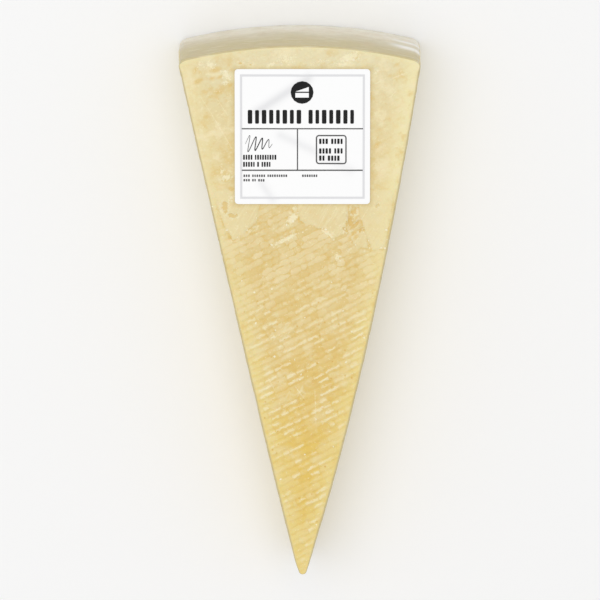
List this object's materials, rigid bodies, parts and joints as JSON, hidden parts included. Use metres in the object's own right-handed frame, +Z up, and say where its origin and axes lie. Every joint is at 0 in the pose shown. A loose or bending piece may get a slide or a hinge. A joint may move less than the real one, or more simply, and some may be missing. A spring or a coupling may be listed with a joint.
{
  "type": "pecorino romano chunk",
  "caption": "Thin pointed wedge of hard pale cheese lying on its cut face, with an upright curved rind and a square paper label on top.",
  "frame": {"origin": "middle of the footprint, at the underside that the wedge rests on", "axes": "+Z up, out of the upper cut face that carries the label; +Y from the tip towards the rind"},
  "size_m": [0.0727, 0.164, 0.0303],
  "materials": {
    "cheese": "pale straw paste with grainy drag marks from the wire, and a grey-beige rind at the curved end",
    "label_paper": "smooth white self-adhesive paper with plain black and grey shapes printed on it"
  },
  "bodies": {
    "root": {"pecorino_chunk": "cheese", "label": "label_paper"}
  },
  "joints": []
}
